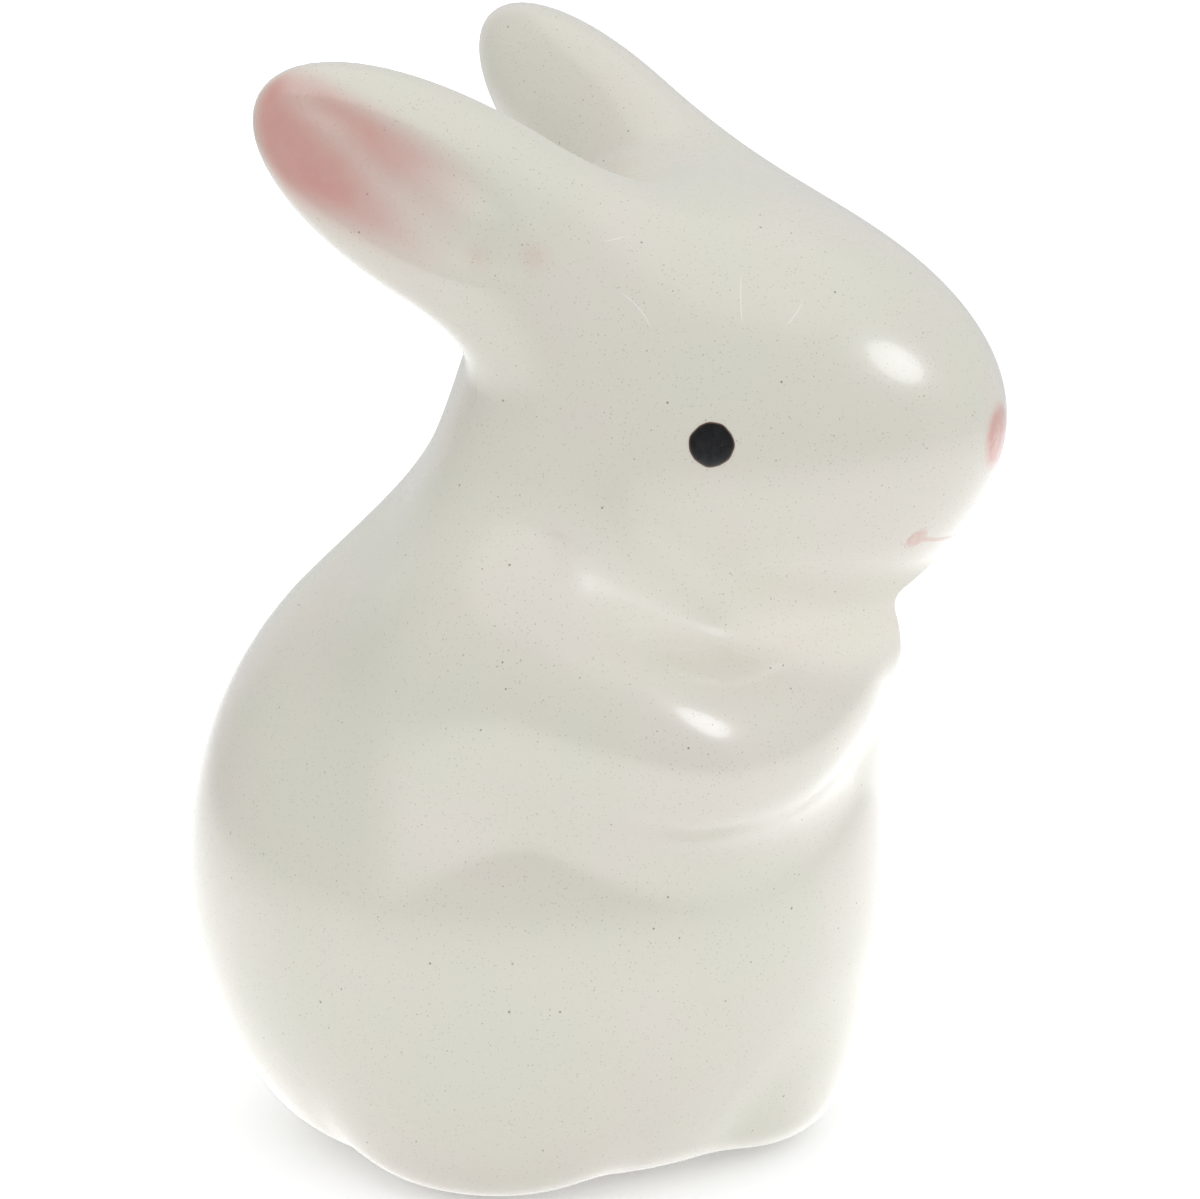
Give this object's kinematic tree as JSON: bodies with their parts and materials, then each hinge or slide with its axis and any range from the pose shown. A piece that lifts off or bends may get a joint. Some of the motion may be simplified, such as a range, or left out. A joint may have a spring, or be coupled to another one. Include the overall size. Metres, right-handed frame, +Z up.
{
  "type": "ceramic rabbit figurine",
  "caption": "Small sitting rabbit figurine of glossy white glazed ceramic, with pink ears, painted eyes, nose and mouth, and a flat foot to stand on.",
  "frame": {"origin": "in the middle of the overall box, at the height of the flat foot", "axes": "+Z up, the body faces -Y and its left side is +X; the head is turned towards +X"},
  "size_m": [0.0605, 0.0628, 0.0908],
  "materials": {
    "glazed_body": "glossy clear glaze over white casting clay, with fine dark specks",
    "black_enamel": "fired overglaze enamel, satin black",
    "pink_enamel": "fired overglaze enamel, pale pink"
  },
  "bodies": {
    "root": {"torso_shell": "glazed_body", "head_shell": "glazed_body", "ear_right": "glazed_body", "ear_left": "glazed_body", "foreleg_right": "glazed_body", "foreleg_left": "glazed_body", "hind_foot_right": "glazed_body", "hind_foot_left": "glazed_body", "tail": "glazed_body", "eye_right": "black_enamel", "eye_left": "black_enamel", "nose": "pink_enamel", "mouth": "pink_enamel"}
  },
  "joints": []
}
